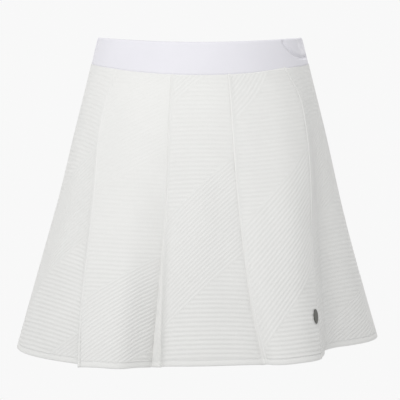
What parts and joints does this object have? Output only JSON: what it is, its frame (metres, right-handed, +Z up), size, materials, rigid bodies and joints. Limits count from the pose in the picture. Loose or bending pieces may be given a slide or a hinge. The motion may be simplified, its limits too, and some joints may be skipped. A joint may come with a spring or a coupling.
{
  "type": "flared golf skirt",
  "caption": "Short flared skirt of ribbed knit gores on a smooth contour waistband, hollow as worn, open at waist and hem.",
  "frame": {"origin": "middle of the waist opening, level with its top edge at the sides, where the wearer's waist holds the skirt", "axes": "+Z up, -Y to the front, +X to the wearer's left"},
  "size_m": [0.4631, 0.3912, 0.3963],
  "materials": {
    "waistband": "smooth fine white knit with a faint cool cast, slight sheen",
    "ribbed_knit": "matt off-white knit with raised level and slanted ribs",
    "stud": "dark gunmetal, satin"
  },
  "bodies": {
    "root": {"waistband_front": "waistband", "waistband_back": "waistband", "gore_front_center": "ribbed_knit", "gore_front_left": "ribbed_knit", "gore_front_right": "ribbed_knit", "gore_side_front_left": "ribbed_knit", "gore_side_front_right": "ribbed_knit", "gore_side_back_left": "ribbed_knit", "gore_side_back_right": "ribbed_knit", "gore_back_left": "ribbed_knit", "gore_back_right": "ribbed_knit", "gore_back_center": "ribbed_knit", "hem_stud": "stud"}
  },
  "joints": []
}
